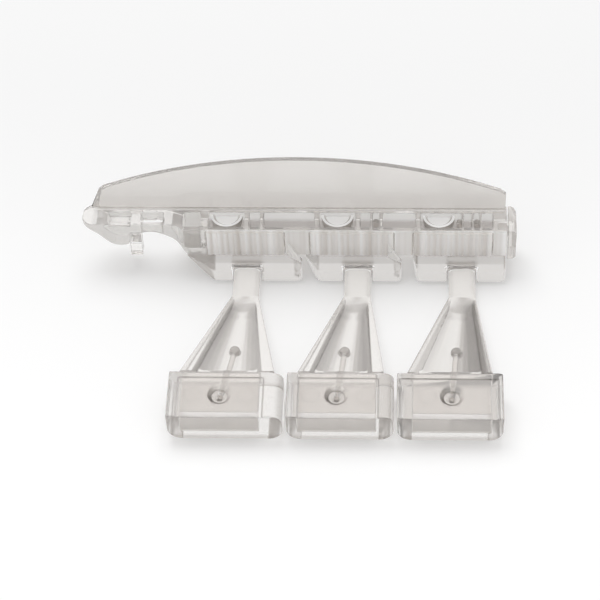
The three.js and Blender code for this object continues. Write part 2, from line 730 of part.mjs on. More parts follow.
// The fan widens from the stem to the block, and a trough is scooped out of its top.
function fan(key) {
  const fanLeft = key.left + FAN_SIDE_INSET;
  const fanRight = key.right - FAN_SIDE_INSET;
  const rings = [];
  for (let step = 0; step <= FAN_STEPS; step += 1) {
    const share = step / FAN_STEPS;
    const y = mix(fanBack, fanFront, share);
    const left = mix(key.stem - STEM_WIDTH / 2, fanLeft, share);
    const right = mix(key.stem + STEM_WIDTH / 2, fanRight, share);
    const top = fanTopAt(share);
    const bottom = mix(stemBottom, FAN_UNDERSIDE, share);
    const rim = mix(FAN_RIM_AT_STEM, key.rim, share);
    const start = (share - TROUGH_START_SHARE) / (TROUGH_FULL_SHARE - TROUGH_START_SHARE);
    const opened = Math.sin((Math.PI / 2) * THREE.MathUtils.clamp(start, 0, 1));
    const depth = opened * troughDepthAt(share);
    const ring = [
      new THREE.Vector3(left, y, bottom),
      new THREE.Vector3(right, y, bottom),
      new THREE.Vector3(right, y, top),
    ];
    for (let turn = 0; turn <= TROUGH_STEPS; turn += 1) {
      const across = turn / TROUGH_STEPS;
      const x = mix(right - rim, left + rim, across);
      ring.push(new THREE.Vector3(x, y, top - depth * Math.sin(Math.PI * across)));
    }
    ring.push(new THREE.Vector3(left, y, top));
    rings.push(ring);
  }
  return loft(rings);
}

function latchLine(key) {
  const headY = blockBack + LATCH_HEAD_REACH;
  const share = (fanBack - headY) / FAN_LENGTH;
  const headZ = fanTopAt(share) - troughDepthAt(share) + LATCH_HEAD_STAND;
  const head = new THREE.Vector3(key.dimple + LATCH_HEAD_REACH * key.latchShift, headY, headZ);
  const tip = new THREE.Vector3(key.dimple, dimpleY, LATCH_TIP_HEIGHT);
  return { head, tip };
}

// The countersink that the block and the tongue in it share.
function dimple(key) {
  const slope = DIMPLE_RADIUS / DIMPLE_DEPTH;
  const top = KEY_HEIGHT - KEY_PAN_DEPTH;
  const profile = [
    [0, top - DIMPLE_DEPTH],
    [DIMPLE_RADIUS + slope * CUT_OVERRUN, top + CUT_OVERRUN],
    [0, top + CUT_OVERRUN],
  ];
  return turned(profile, key.dimple, dimpleY, PIN_SIDES);
}

function arm(key) {
  const half = STEM_WIDTH / 2;
  const stemShape = outline([
    [key.stem - half, stemBottom],
    [key.stem + half, stemBottom],
    [key.stem + half, stemTop - STEM_CHAMFER],
    [key.stem + half - STEM_CHAMFER, stemTop],
    [key.stem - half + STEM_CHAMFER, stemTop],
    [key.stem - half, stemTop - STEM_CHAMFER],
  ]);
  const stem = alongY(stemShape, fanBack - FIT_GAP, hingeY);
  const knuckle = rodBetween(
    new THREE.Vector3(key.stem - half, hingeY, HINGE_HEIGHT),
    new THREE.Vector3(key.stem + half, hingeY, HINGE_HEIGHT),
    STEM_HEIGHT / 2,
  );
  const tongueHalf = TONGUE_WIDTH / 2;
  const tongue = boxBetween(
    [key.dimple - tongueHalf, blockFront + KEY_FRONT_WALL + FIT_GAP, tongueBottom],
    [key.dimple + tongueHalf, fanFront + CUT_OVERRUN, tongueTop],
  );
  const hingeBore = rodBetween(
    new THREE.Vector3(key.stem - half - CUT_OVERRUN, hingeY, HINGE_HEIGHT),
    new THREE.Vector3(key.stem + half + CUT_OVERRUN, hingeY, HINGE_HEIGHT),
    HINGE_RADIUS + BORE_PLAY,
  );
  const { head, tip } = latchLine(key);
  const beyond = tip.clone().sub(head).setLength(LATCH_RADIUS).add(tip);
  const latchBore = rodBetween(head, beyond, LATCH_RADIUS + BORE_PLAY);
  const headSeat = new THREE.SphereGeometry(LATCH_HEAD_RADIUS + BORE_PLAY, PIN_SIDES, PIN_SIDES / 2);
  headSeat.translate(head.x, head.y, head.z);
  return cutBy(joined([stem, knuckle, fan(key), tongue]), [hingeBore, latchBore, solidOf(headSeat), dimple(key)]);
}

function latchPin(key) {
  const { head, tip } = latchLine(key);
  const ball = new THREE.SphereGeometry(LATCH_HEAD_RADIUS, PIN_SIDES, PIN_SIDES / 2);
  ball.translate(head.x, head.y, head.z);
  return rodBetween(head, tip, LATCH_RADIUS).add(solidOf(ball));
}

// A cap with rounded lower corners and a rounded right shoulder, a shallow pan in its top face and
// a cavity open to the back.
function keyBlock(key) {
  const shoulder = key.width * key.sides.shoulder;
  const shoulderFoot = KEY_HEIGHT - shoulder * KEY_SHOULDER_DROP_SHARE;
  const shape = new THREE.Shape();
  shape.moveTo(key.left, KEY_HEIGHT);
  shape.lineTo(key.left, KEY_CORNER);
  shape.absarc(key.left + KEY_CORNER, KEY_CORNER, KEY_CORNER, Math.PI, Math.PI * 1.5);
  shape.absarc(key.right - KEY_CORNER, KEY_CORNER, KEY_CORNER, Math.PI * 1.5, Math.PI * 2);
  shape.lineTo(key.right, shoulderFoot);
  shape.quadraticCurveTo(key.right, KEY_HEIGHT, key.right - shoulder, KEY_HEIGHT);
  const cavityHalf = TONGUE_WIDTH / 2 + FIT_GAP;
  const cavity = boxBetween(
    [key.dimple - cavityHalf, blockFront + KEY_FRONT_WALL, KEY_FLOOR],
    [key.dimple + cavityHalf, blockBack + CUT_OVERRUN, tongueTop + FIT_GAP],
  );
  const pan = boxBetween(
    [key.left + key.width * key.sides.leftRim, blockFront - CUT_OVERRUN, KEY_HEIGHT - KEY_PAN_DEPTH],
    [key.right - key.width * key.sides.rightRim, blockBack - KEY_BACK_RIM, KEY_HEIGHT + CUT_OVERRUN],
  );
  return cutBy(alongY(shape, blockFront, blockBack), [cavity, pan, dimple(key)]);
}

addPiece("carrier_rail", carrierRail(), clearAcrylic);
addPiece("light_blade", lightBlade(), clearAcrylic);
CUP_SHARES.forEach((share, index) => addPiece(`collimator_${index + 1}`, cup(share), clearLens));
WINDOW_SHARES.forEach((shares, index) => addPiece(`rib_lens_${index + 1}`, ribLens(shares), clearLens));
POST_SHARES.forEach((share, index) => addPiece(`locating_post_${index + 1}`, locatingPost(share), clearPin));
SOCKET_SHARES.forEach((shares, index) => addPiece(`socket_${index + 1}`, socket(shares, index), clearAcrylic));
addPiece("end_clip", endClip(), clearAcrylic);
addPiece("locating_foot", locatingFoot(), clearPin);

for (const key of keys) {
  addPiece(`hinge_pin_${key.number}`, hingePin(key), clearPin);
  const moving = new THREE.Group();
  addPiece(`arm_${key.number}`, arm(key), clearAcrylic, moving);
  addPiece(`key_block_${key.number}`, keyBlock(key), clearAcrylic, moving);
  addPiece(`latch_pin_${key.number}`, latchPin(key), clearPin, moving);
  part.add(moving);
}

// The origin is the middle of the part's footprint, on the table.
const bounds = new THREE.Box3().setFromObject(part);
const middle = bounds.getCenter(new THREE.Vector3());
part.position.set(-middle.x, -middle.y, -bounds.min.z);

export default part;
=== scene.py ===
"""A clear light guide with three hinged keys: its moulded acrylic finish, floor, light and camera."""

import json
import math

import bmesh
import bpy
from mathutils import Matrix, Vector


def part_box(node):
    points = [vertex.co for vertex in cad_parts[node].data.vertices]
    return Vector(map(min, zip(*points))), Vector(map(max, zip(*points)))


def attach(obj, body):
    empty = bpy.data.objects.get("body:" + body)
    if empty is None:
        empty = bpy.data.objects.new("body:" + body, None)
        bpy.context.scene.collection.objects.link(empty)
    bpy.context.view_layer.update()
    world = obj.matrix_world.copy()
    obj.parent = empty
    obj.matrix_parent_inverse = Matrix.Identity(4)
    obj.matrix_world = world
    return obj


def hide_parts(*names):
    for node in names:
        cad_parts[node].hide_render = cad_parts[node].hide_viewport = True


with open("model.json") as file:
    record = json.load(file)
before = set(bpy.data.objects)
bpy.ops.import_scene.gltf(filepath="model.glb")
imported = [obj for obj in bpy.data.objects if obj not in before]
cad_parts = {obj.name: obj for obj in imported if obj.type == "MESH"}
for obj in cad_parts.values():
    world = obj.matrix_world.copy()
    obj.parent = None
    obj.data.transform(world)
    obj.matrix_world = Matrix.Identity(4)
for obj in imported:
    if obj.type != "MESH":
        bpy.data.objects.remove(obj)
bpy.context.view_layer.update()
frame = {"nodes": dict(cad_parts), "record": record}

MM = 0.001
LOW, HIGH = 0, 1  # the corners of a box
X, Y, Z = 0, 1, 2
COLOUR_A, COLOUR_B, COLOUR_OUT = 6, 7, 2  # the colour sockets of a Mix node
WHITE = "FFFFFF"

# Camera, at the photograph's view
TARGET_MM = Vector((0.35, 8.75, 0))
CAMERA_DISTANCE_MM = 396
CAMERA_ELEVATION_DEG = 50
CAMERA_YAW_DEG = 4
CAMERA_ROLL_DEG = 0.35
CAMERA_LENS_MM = 132
CAMERA_SENSOR_MM = 36
CAMERA_NEAR_MM = 10

# Acrylic, as every finish has it
ACRYLIC_IOR = 1.49
RIPPLE_STRENGTH = 0.25
RIPPLE_DEPTH_MM = 0.02
RIPPLE_NOISE = (0.3, 0.7)  # the values that most of the noise lies between
GLOSS_SPREAD = 0.3  # how far the roughness goes up and down over the ripples, as a share of it
# Painted strips of light and shade: the values that most of their noise lies between
PAINTED_STRIP_NOISE = (0.35, 0.65)

# What a shadow ray keeps at each face of the plastic: square to it, and along it
SHADOW_FLAT = "F5F4F3"
SHADOW_STEEP = "8A8886"

# Meshes taken over from the frame
WELD_MM = 0.002
FLAT_DEG = 0.8
CREASE_DEG = 30
BEVEL_STEPS = 2
BLOCK_EDGE_MM = 0.25
BLADE_EDGE_MM = 0.15

# Remoulded skins: the grain in mm, the rounds of smoothing, and the share of the faces that is kept
RAIL_SKIN = (0.13, 3, 0.12)
CLIP_SKIN = (0.1, 4, 0.15)
FOOT_SKIN = (0.08, 3, 0.2)
SOCKET_SKIN = (0.1, 3, 0.15)
ARM_SKIN = (0.12, 12, 0.15)
SMOOTHING = 0.5
FLAT_FACE_WEIGHT = 100

# Joinery that the moulded finish closes: the blade's tabs in the rail, and the pins' ends in the sockets
TAB_SHARES = (0.12, 0.31, 0.5, 0.69, 0.88)
TAB_HALF_MM = 2.6
JOINERY_PLAY_MM = 0.25
BLADE_FOOT_MM = 0.2  # from the rail's top to the blade's own foot
BLADE_SEAT_MM = 0.02  # from the rail's top to the foot of the finished blade
PIN_HALF_MM = 2.65
PIN_SINK_MM = 0.05

# Zones with a finish of their own
FORWARD_SLOPE = 0.6  # how squarely a face of the rail looks forward there
# The bright band and the pocket backs carry painted light and shade
BAND_MM = 0.3  # from the rail's front to the back of its bright band
PIT_MM = 2.5  # from the rail's front to where the shaded pocket backs begin
SLOT_HALF_MM = 2.8  # from the middle of a socket's slot to just inside its walls
SLOT_MOUTH_MM = 0.2  # from a socket's front
SLOT_BACK_MM = 1  # behind the hinge pin
SLOT_ROOF_MM = 0.4  # under the rail
FAN_FRONT_MM = 0.2  # behind the block
STEM_MM = 5.8  # from a socket's front to the fan
UNDERSIDE_SLOPE = 0.3  # how squarely a face of the blade looks down there
DIMPLE_REACH_MM = 2.35
DIMPLE_SLOPES = (0.3, 0.98)  # how squarely the countersink's faces look up

# The rings that the mould's ejectors leave in the pan of each block, beside the countersink
LATCH_RADIUS_MM = 0.5
PAN_DEPTH_MM = 0.25
RING_RADIUS_MM = 1.5
RING_WIRE_MM = 0.07
RING_TURNS = 48
RING_SIDES = 6
RING_SHIFTS_MM = {"1": (-4.6, 4.6), "2": (-4.4, 4.9), "3": (-4.2,)}


def new_object(name, data):
    """An object in the scene that shows the data."""
    made = bpy.data.objects.new(name, data)
    bpy.context.scene.collection.objects.link(made)
    return made


def aim_camera():
    """The photograph's camera: above, a little to the right, and rolled by a third of a degree."""
    elevation = math.radians(CAMERA_ELEVATION_DEG)
    yaw = math.radians(CAMERA_YAW_DEG)
    roll = math.radians(CAMERA_ROLL_DEG)
    back = Vector((
        math.sin(yaw) * math.cos(elevation),
        -math.cos(yaw) * math.cos(elevation),
        math.sin(elevation),
    ))
    level = Vector((1, 0, 0))
    level = (level - back * level.dot(back)).normalized()
    upright = back.cross(level)
    right = level * math.cos(roll) + upright * math.sin(roll)
    up = upright * math.cos(roll) - level * math.sin(roll)
    camera = new_object("camera", bpy.data.cameras.new("camera"))
    camera.matrix_world = Matrix((right, up, back)).transposed().to_4x4()
    camera.matrix_world.translation = (TARGET_MM + back * CAMERA_DISTANCE_MM) * MM
    camera.data.lens = CAMERA_LENS_MM
    camera.data.sensor_width = CAMERA_SENSOR_MM
    camera.data.clip_start = CAMERA_NEAR_MM * MM
    bpy.context.scene.camera = camera


def linear(code):
    """An sRGB hex colour as the linear one that shaders take."""
    shares = [int(code[at:at + 2], 16) / 255 for at in (0, 2, 4)]
    return [c / 12.92 if c <= 0.04045 else ((c + 0.055) / 1.055) ** 2.4 for c in shares] + [1.0]


def empty_tree(owner):
    """The node tree of a material or a world, with nothing in it."""
    owner.use_nodes = True
    owner.node_tree.nodes.clear()
    return owner.node_tree


def add_node(tree, kind, settings, links):
    """Adds a node. A setting goes to the socket of that name or number, or else to the node itself."""
    node = tree.nodes.new("ShaderNode" + kind)
    for name, value in settings.items():
        if isinstance(name, int) or name in node.inputs:
            node.inputs[name].default_value = value
        else:
            setattr(node, name, value)
    for name, output in links.items():
        tree.links.new(output, node.inputs[name])
    return node


def rippled(tree, place, rough, ripple_mm):
    """The roughness and the bump of a face that ripples softly, as wide as the flow marks of a mould."""
    ripple = add_node(
        tree, "TexNoise", {"Scale": 1 / (ripple_mm * MM)}, {"Vector": place.outputs["Object"]},
    )
    low, high = RIPPLE_NOISE
    gloss = add_node(
        tree, "MapRange",
        {
            "From Min": low,
            "From Max": high,
            "To Min": rough * (1 - GLOSS_SPREAD),
            "To Max": rough * (1 + GLOSS_SPREAD),
        },
        {"Value": ripple.outputs["Fac"]},
    )
    bump = add_node(
        tree, "Bump", {"Strength": RIPPLE_STRENGTH, "Distance": RIPPLE_DEPTH_MM * MM},
        {"Height": ripple.outputs["Fac"]},
    )
    return gloss.outputs["Result"], bump.outputs["Normal"]


def painted_shade_by_slope(tree, tones, brightest):
    """Painted light and shade: the tone of a face by how squarely it lies to the brightest direction, from
    either side.
    """
    facing = add_node(tree, "NewGeometry", {}, {})
    towards = add_node(
        tree, "VectorMath", {"operation": "DOT_PRODUCT", 1: Vector(brightest).normalized()},
        {0: facing.outputs["Normal"]},
    )
    either_side = add_node(tree, "Math", {"operation": "ABSOLUTE"}, {0: towards.outputs["Value"]})
    tint = add_node(tree, "ValToRGB", {}, {"Fac": either_side.outputs[0]})
    stops = tint.color_ramp.elements
    for share, code in tones:
        stop = stops[-1] if share == 1 else stops[0] if share == 0 else stops.new(share)
        stop.color = linear(code)
    return tint.outputs["Color"]


def height_share(tree, place, foot_mm, top_mm):
    """Rises smoothly from 0 to 1 between two heights."""
    axes = add_node(tree, "SeparateXYZ", {}, {"Vector": place.outputs["Object"]})
    height = add_node(
        tree, "MapRange",
        {"interpolation_type": "SMOOTHSTEP", "From Min": foot_mm * MM, "From Max": top_mm * MM},
        {"Value": axes.outputs["Z"]},
    )
    return height.outputs["Result"]


def painted_strip_share(tree, place, width_mm):
    """Goes unevenly up and down between 0 and 1 along the rail, in upright strips, for painted strips of
    light and shade.
    """
    along = add_node(
        tree, "VectorMath", {"operation": "MULTIPLY", 1: (1, 0, 0)}, {0: place.outputs["Object"]},
    )
    strips = add_node(
        tree, "TexNoise", {"Scale": 1 / (width_mm * MM)}, {"Vector": along.outputs[0]},
    )
    low, high = PAINTED_STRIP_NOISE
    share = add_node(
        tree, "MapRange", {"From Min": low, "From Max": high}, {"Value": strips.outputs["Fac"]},
    )
    return share.outputs["Result"]


def dimmed(tree, colour, share, dark):
    """The colour with painted shade: multiplied by the dark tone where the share is 0 and kept where it is
    1.
    """
    tone = add_node(
        tree, "Mix", {"data_type": "RGBA", COLOUR_A: linear(dark), COLOUR_B: linear(WHITE)}, {0: share},
    )
    product = add_node(
        tree, "Mix", {"data_type": "RGBA", "blend_type": "MULTIPLY", 0: 1},
        {COLOUR_A: tone.outputs[COLOUR_OUT], COLOUR_B: colour},
    )
    return product.outputs[COLOUR_OUT]


def lit_through(tree, plastic):
    """The plastic, which lets the light of lamps and paper through and casts a pale shadow.

    Each face keeps a little of the light back, and a face that the light only grazes keeps more.
    """
    path = add_node(tree, "LightPath", {}, {})
    glance = add_node(tree, "LayerWeight", {}, {})
    grazed = add_node(
        tree, "Math", {"operation": "MULTIPLY"},
        {0: glance.outputs["Facing"], 1: path.outputs["Is Shadow Ray"]},
    )
    shadow = add_node(
        tree, "Mix", {"data_type": "RGBA", COLOUR_A: linear(SHADOW_FLAT), COLOUR_B: linear(SHADOW_STEEP)},
        {0: grazed.outputs[0]},
    )
    passed = add_node(tree, "BsdfTransparent", {}, {"Color": shadow.outputs[COLOUR_OUT]})
    lighting = add_node(
        tree, "Math", {"operation": "MAXIMUM"},
        {0: path.outputs["Is Shadow Ray"], 1: path.outputs["Is Diffuse Ray"]},
    )
    return add_node(
        tree, "MixShader", {}, {0: lighting.outputs[0], 1: plastic.outputs[0], 2: passed.outputs[0]},
    )


def moulded_acrylic(
    name, tones, brightest=(0, 0, 1), rough=0.13, ripple_mm=4, clear=0.78, painted_foot_shade=None, painted_strips=None,
):
    """Clear moulded acrylic with a trace of haze.

    It bends light strongly and its faces ripple softly. Its colour carries painted shade: slopes
    that turn away from the brightest direction are painted greyer, standing in for the light of the
    soft box that they send aside. A painted shade towards the foot is two heights and the tone at the
    lower one, and painted strips of light and shade are a width and the tone of the darkest.
    """
    material = bpy.data.materials.new(name)
    tree = empty_tree(material)
    place = add_node(tree, "TexCoord", {}, {})
    gloss, bump = rippled(tree, place, rough, ripple_mm)
    # The colour carries painted light and shade: by slope, towards the foot, and in strips
    colour = painted_shade_by_slope(tree, tones, brightest)
    if painted_foot_shade:
        foot_mm, top_mm, foot = painted_foot_shade
        colour = dimmed(tree, colour, height_share(tree, place, foot_mm, top_mm), foot)
    if painted_strips:
        width_mm, darkest = painted_strips
        colour = dimmed(tree, colour, painted_strip_share(tree, place, width_mm), darkest)
    plastic = add_node(
        tree, "BsdfPrincipled", {"IOR": ACRYLIC_IOR, "Transmission Weight": clear},
        {"Base Color": colour, "Roughness": gloss, "Normal": bump},
    )
    add_node(tree, "OutputMaterial", {}, {"Surface": lit_through(tree, plastic).outputs[0]})
    return material


# Tones of painted light and shade on a slope, from one that lies along the brightest direction to one that
# faces it
EVEN = [(0, "EDEAE7"), (0.6, "E7E4E1"), (0.95, "EEEBE8"), (1, "F0EDEA")]
EDGED = [(0, "EBE8E5"), (0.35, "C8C5C2"), (0.6, "CAC6C2"), (0.8, "D4D0CC"), (0.95, "F1EEEB"), (1, "F3F0ED")]
SCOOPED = [
    (0, "E2DFDB"), (0.5, "C8C4C0"), (0.72, "8C8885"), (0.84, "BCB8B4"), (0.93, "F2EFEC"), (1, "F8F6F4"),
]
STEEP = [
    (0, "E2DFDB"), (0.32, "C8C4C0"), (0.48, "74706D"), (0.7, "827E7B"),
    (0.84, "BCB8B4"), (0.93, "F2EFEC"), (1, "F8F6F4"),
]
RIBBED = [(0, "F0EDEA"), (0.45, "FCFAF8"), (0.75, WHITE), (1, WHITE)]
CUPPED = [(0, "B4B0AC"), (0.5, "C6C2BE"), (0.82, WHITE), (1, WHITE)]
SHADED = [(0, "BEBAB6"), (0.3, "C8C4C0"), (0.75, "D6D2CE"), (1, "DCD8D4")]
RAILED = [(0, "DAD7D4"), (0.35, "E2E0DD"), (0.7, "F2F0EE"), (1, "FAF8F6")]
FROST = [(0, "F8F6F4"), (1, WHITE)]
SUNK = [(0, "6E6A66"), (0.45, "4A4744"), (0.7, "B8B4B0"), (0.9, "F4F2F0"), (1, "F4F2F0")]

# Plain faces of a polished mould: the table shows through, softened and a little grey
BODY = moulded_acrylic("acrylic_moulded_clear", EVEN)
# Moulded, with many inner walls that dim each other: painted shade makes the upright ones greyer than the
# top
RAIL = moulded_acrylic(
    "acrylic_pocketed_clear", RAILED, brightest=(0.1, -0.3, 0.9), rough=0.11, ripple_mm=5, clear=0.82,
)
# Moulded thick, with painted light and shade: flat faces are painted pale, rounded edges a grey line, and
# the foot darker
BLOCK = moulded_acrylic("acrylic_block_clear", EDGED, painted_foot_shade=(0.6, 1.8, "CCC8C4"))
# Moulded with more haze, and painted grey all round: painted shade for the rail's shade that it stands in
SOCKET = moulded_acrylic("acrylic_socket_clear", SHADED, brightest=(0, -0.95, 0.3), clear=0.64)
# The moulded back of a pocket, with painted shade: pale at the top, and painted darker where the pocket is
# deep
PIT = moulded_acrylic(
    "acrylic_pocket_clear", FROST,
    brightest=(0, -1, 0), rough=0.11, ripple_mm=5, clear=0.7, painted_foot_shade=(7.8, 9.2, "C2BCB9"),
)
# Moulded sheet: clearer than the thicker pieces, and painted a trace darker towards its foot, a painted
# shade where it meets the rail
SHEET = moulded_acrylic("acrylic_blade_clear", EVEN, clear=0.86, painted_foot_shade=(11, 22, "F0EFEE"))
# Moulded troughs with painted light and shade: a bright floor between sides painted grey, most at the third
# fan's right
SCOOPS = {
    "1": moulded_acrylic("acrylic_scooped_left", SCOOPED, brightest=(0, 0.3, 0.95), clear=0.8),
    "2": moulded_acrylic("acrylic_scooped_middle", SCOOPED, brightest=(0.08, 0.3, 0.95), clear=0.8),
    "3": moulded_acrylic("acrylic_scooped_right", STEEP, brightest=(0.28, 0.3, 0.95), clear=0.8),
}
# Polished cone: one side painted bright and the other painted dark
DIMPLE = moulded_acrylic(
    "acrylic_countersunk_clear", SUNK, brightest=(-0.3, -0.3, 0.9), rough=0.08, ripple_mm=2, clear=0.9,
)
# Solid bowls that gather light: a painted bright, even top over painted grey sides
CUP = moulded_acrylic(
    "acrylic_cup_clear", CUPPED, brightest=(0, -0.4, 0.9), rough=0.2, ripple_mm=6, clear=0.12,
)
# Moulded ribs, which scatter the light: hazy white, with painted light and shade by slope and painted
# upright strips of grey
LENS = moulded_acrylic(
    "acrylic_ribbed_clear", RIBBED,
    brightest=(-0.55, -0.6, 0.5), rough=0.1, ripple_mm=6, clear=0.08, painted_strips=(2, "DEDAD6"),
)
# Turned pins: clearer and smoother than the moulded faces
PIN = moulded_acrylic("acrylic_turned_clear", EVEN, rough=0.12, ripple_mm=2, clear=0.84)
# Polished, at the hinges and the foot: so clear that they all but vanish
HINGE = moulded_acrylic("acrylic_hinge_clear", FROST, rough=0.06, ripple_mm=2, clear=0.97)
# Frosted: nearly white, and hardly clear
FROSTED = moulded_acrylic("acrylic_frosted_clear", FROST, rough=0.3, ripple_mm=2, clear=0.1)
SLOTS = {"clear_acrylic": BODY, "clear_lens": LENS, "clear_pin": PIN}


def body_of(node):
    """The name of the body that carries the node."""
    bodies = frame["record"]["behaviour"]["bodies"]
    return next(body for body, nodes in bodies.items() if node in nodes)


def slot_of(node):
    """The material slot that the record gives the node."""
    return next(s["material_slot"] for s in frame["record"]["subparts"] if s["node"] == node)


def dress(piece, node, finish=None):
    """The piece stands for the node: same body, same slot, that slot's finish unless another is given."""
    piece.data.materials.clear()
    piece.data.materials.append(finish or SLOTS[slot_of(node)])
    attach(piece, body_of(node))
    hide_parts(node)


def zoned(piece, finish, inside):
    """Gives another finish to the faces that lie inside the zone."""
    piece.data.materials.append(finish)
    slot = len(piece.data.materials) - 1
    for face in piece.data.polygons:
        if inside(face):
            face.material_index = slot


def finished_mesh(piece):
    """Applies the piece's modifiers once, so that no later step works them out again."""
    view = bpy.context.evaluated_depsgraph_get()
    mesh = bpy.data.meshes.new_from_object(piece.evaluated_get(view))
    piece.modifiers.clear()
    piece.data = mesh


def filled(mesh, boxes):
    """Adds closed boxes to a mesh. They become part of its skin when it is remeshed."""
    shape = bmesh.new()
    shape.from_mesh(mesh)
    for low, high in boxes:
        middle = (low + high) / 2
        size = Matrix.Diagonal((*(high - low), 1))
        bmesh.ops.create_cube(shape, size=1, matrix=Matrix.Translation(middle) @ size)
    shape.to_mesh(mesh)
    shape.free()


def moulded(node, skin, finish=None, boxes=()):
    """The node's shape as it leaves the mould: one skin with no facets and every edge rounded.

    The grain sets how far the edges are rounded. Fewer faces are kept where the skin is flat.
    """
    grain_mm, rounds, kept = skin
    piece = new_object("finished_" + node, frame["nodes"][node].data.copy())
    filled(piece.data, boxes)
    remeshed = piece.modifiers.new("one_skin", "REMESH")
    remeshed.mode = "VOXEL"
    remeshed.voxel_size = grain_mm * MM
    remeshed.use_smooth_shade = True
    relaxed = piece.modifiers.new("rounded_edges", "SMOOTH")
    relaxed.factor = SMOOTHING
    relaxed.iterations = rounds
    thinned = piece.modifiers.new("fewer_faces", "DECIMATE")
    thinned.ratio = kept
    even = piece.modifiers.new("flat_faces", "WEIGHTED_NORMAL")
    even.weight = FLAT_FACE_WEIGHT
    finished_mesh(piece)
    dress(piece, node, finish)
    return piece


def cut_off(shape, axis, at, keep_above):
    """Cuts a shape square to an axis, keeps one side and closes the cut."""
    normal = Vector([index == axis for index in (X, Y, Z)])
    cut = bmesh.ops.bisect_plane(
        shape, geom=shape.verts[:] + shape.edges[:] + shape.faces[:], plane_co=normal * at,
        plane_no=normal, clear_inner=keep_above, clear_outer=not keep_above,
    )
    rim = [item for item in cut["geom_cut"] if isinstance(item, bmesh.types.BMEdge)]
    bmesh.ops.contextual_create(shape, geom=rim)


def creased(node, finish=None, shaped=None, edge_mm=0):
    """The node's own faces, without the facets' seams, smooth up to its sharp or rounded edges."""
    mesh = frame["nodes"][node].data.copy()
    if "custom_normal" in mesh.attributes:
        mesh.attributes.remove(mesh.attributes["custom_normal"])
    shape = bmesh.new()
    shape.from_mesh(mesh)
    bmesh.ops.remove_doubles(shape, verts=shape.verts, dist=WELD_MM * MM)
    bmesh.ops.dissolve_limit(
        shape, angle_limit=math.radians(FLAT_DEG), verts=shape.verts, edges=shape.edges,
    )
    if shaped:
        shaped(shape)
    for face in shape.faces:
        face.smooth = True
    for edge in shape.edges:
        edge.smooth = len(edge.link_faces) == 2 and edge.calc_face_angle() < math.radians(CREASE_DEG)
    shape.to_mesh(mesh)
    shape.free()
    piece = new_object("finished_" + node, mesh)
    if edge_mm:
        round_edges(piece, edge_mm)
    dress(piece, node, finish)
    return piece


def round_edges(piece, edge_mm):
    """Rounds the sharp edges of a piece."""
    bevel = piece.modifiers.new("rounded_edges", "BEVEL")
    bevel.width = edge_mm * MM
    bevel.segments = BEVEL_STEPS
    bevel.limit_method = "ANGLE"
    bevel.angle_limit = math.radians(CREASE_DEG)
    bevel.use_clamp_overlap = False
    bevel.harden_normals = True
    finished_mesh(piece)


def tab_boxes():
    """The slots in the rail's web that hold the blade's tabs."""
    low, high = (Vector(corner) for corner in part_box("light_blade"))
    play = JOINERY_PLAY_MM * MM
    half = TAB_HALF_MM * MM + play
    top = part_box("carrier_rail")[HIGH][Z]
    boxes = []
    for share in TAB_SHARES:
        x = low.x + (high.x - low.x) * share
        near = Vector((x - half, low.y - play, low.z - play))
        far = Vector((x + half, high.y + play, top))
        boxes.append((near, far))
    return boxes


def rail():
    """The rail, with a brighter front band of white haze and painted strips between its windows, and
    painted shade on the backs in its pockets.
    """
    piece = moulded("carrier_rail", RAIL_SKIN, RAIL, tab_boxes())
    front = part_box("carrier_rail")[LOW][Y]
    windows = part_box("rib_lens_1")[LOW][X]
    zoned(piece, LENS, lambda face: (
        face.normal.y < -FORWARD_SLOPE and face.center.x > windows
        and face.center.y < front + BAND_MM * MM
    ))
    zoned(piece, PIT, lambda face: (
        face.normal.y < -FORWARD_SLOPE and face.center.x > windows
        and face.center.y > front + PIT_MM * MM
    ))


def light_blade():
    """The blade's sheet alone, drawn down to the rail's top as if moulded on it, with a frosted foot."""
    rail_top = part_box("carrier_rail")[HIGH][Z]
    foot = rail_top + BLADE_FOOT_MM * MM

    def seat(shape):
        cut_off(shape, Z, foot + WELD_MM * MM, True)
        for vert in shape.verts:
            if vert.co.z < foot + 2 * WELD_MM * MM:
                vert.co.z = rail_top + BLADE_SEAT_MM * MM

    piece = creased("light_blade", SHEET, seat, BLADE_EDGE_MM)
    zoned(piece, FROSTED, lambda face: face.normal.z < -UNDERSIDE_SLOPE)


def bore_boxes(number):
    """The two stretches of a socket's bore that hold the ends of its pin."""
    low, high = (Vector(corner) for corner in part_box("hinge_pin_" + number))
    play = Vector([JOINERY_PLAY_MM * MM] * 3)
    low, high = low - play, high + play
    middle = (low.x + high.x) / 2
    wall = (PIN_HALF_MM + PIN_SINK_MM) * MM
    return [(low, Vector((middle - wall, high.y, high.z))), (Vector((middle + wall, low.y, low.z)), high)]


def socket(number):
    """The socket, with a frosted web on its shoulder and a slot that is polished round the hinge."""
    piece = moulded("socket_" + number, SOCKET_SKIN, SOCKET, bore_boxes(number))
    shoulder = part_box("carrier_rail")[LOW][Z]
    zoned(piece, FROSTED, lambda face: face.center.z > shoulder)
    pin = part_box("hinge_pin_" + number)
    middle = (pin[LOW][X] + pin[HIGH][X]) / 2
    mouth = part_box("socket_" + number)[LOW][Y] + SLOT_MOUTH_MM * MM
    zoned(piece, HINGE, lambda face: (
        abs(face.center.x - middle) < SLOT_HALF_MM * MM
        and mouth < face.center.y < pin[HIGH][Y] + SLOT_BACK_MM * MM
        and face.center.z < shoulder - SLOT_ROOF_MM * MM
    ))


def hinge_pin(number):
    """The length of the pin that shows between the walls of the socket's slot."""
    low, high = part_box("hinge_pin_" + number)
    middle = (low[X] + high[X]) / 2

    def cut_ends(shape):
        cut_off(shape, X, middle - PIN_HALF_MM * MM, True)
        cut_off(shape, X, middle + PIN_HALF_MM * MM, False)

    creased("hinge_pin_" + number, shaped=cut_ends)


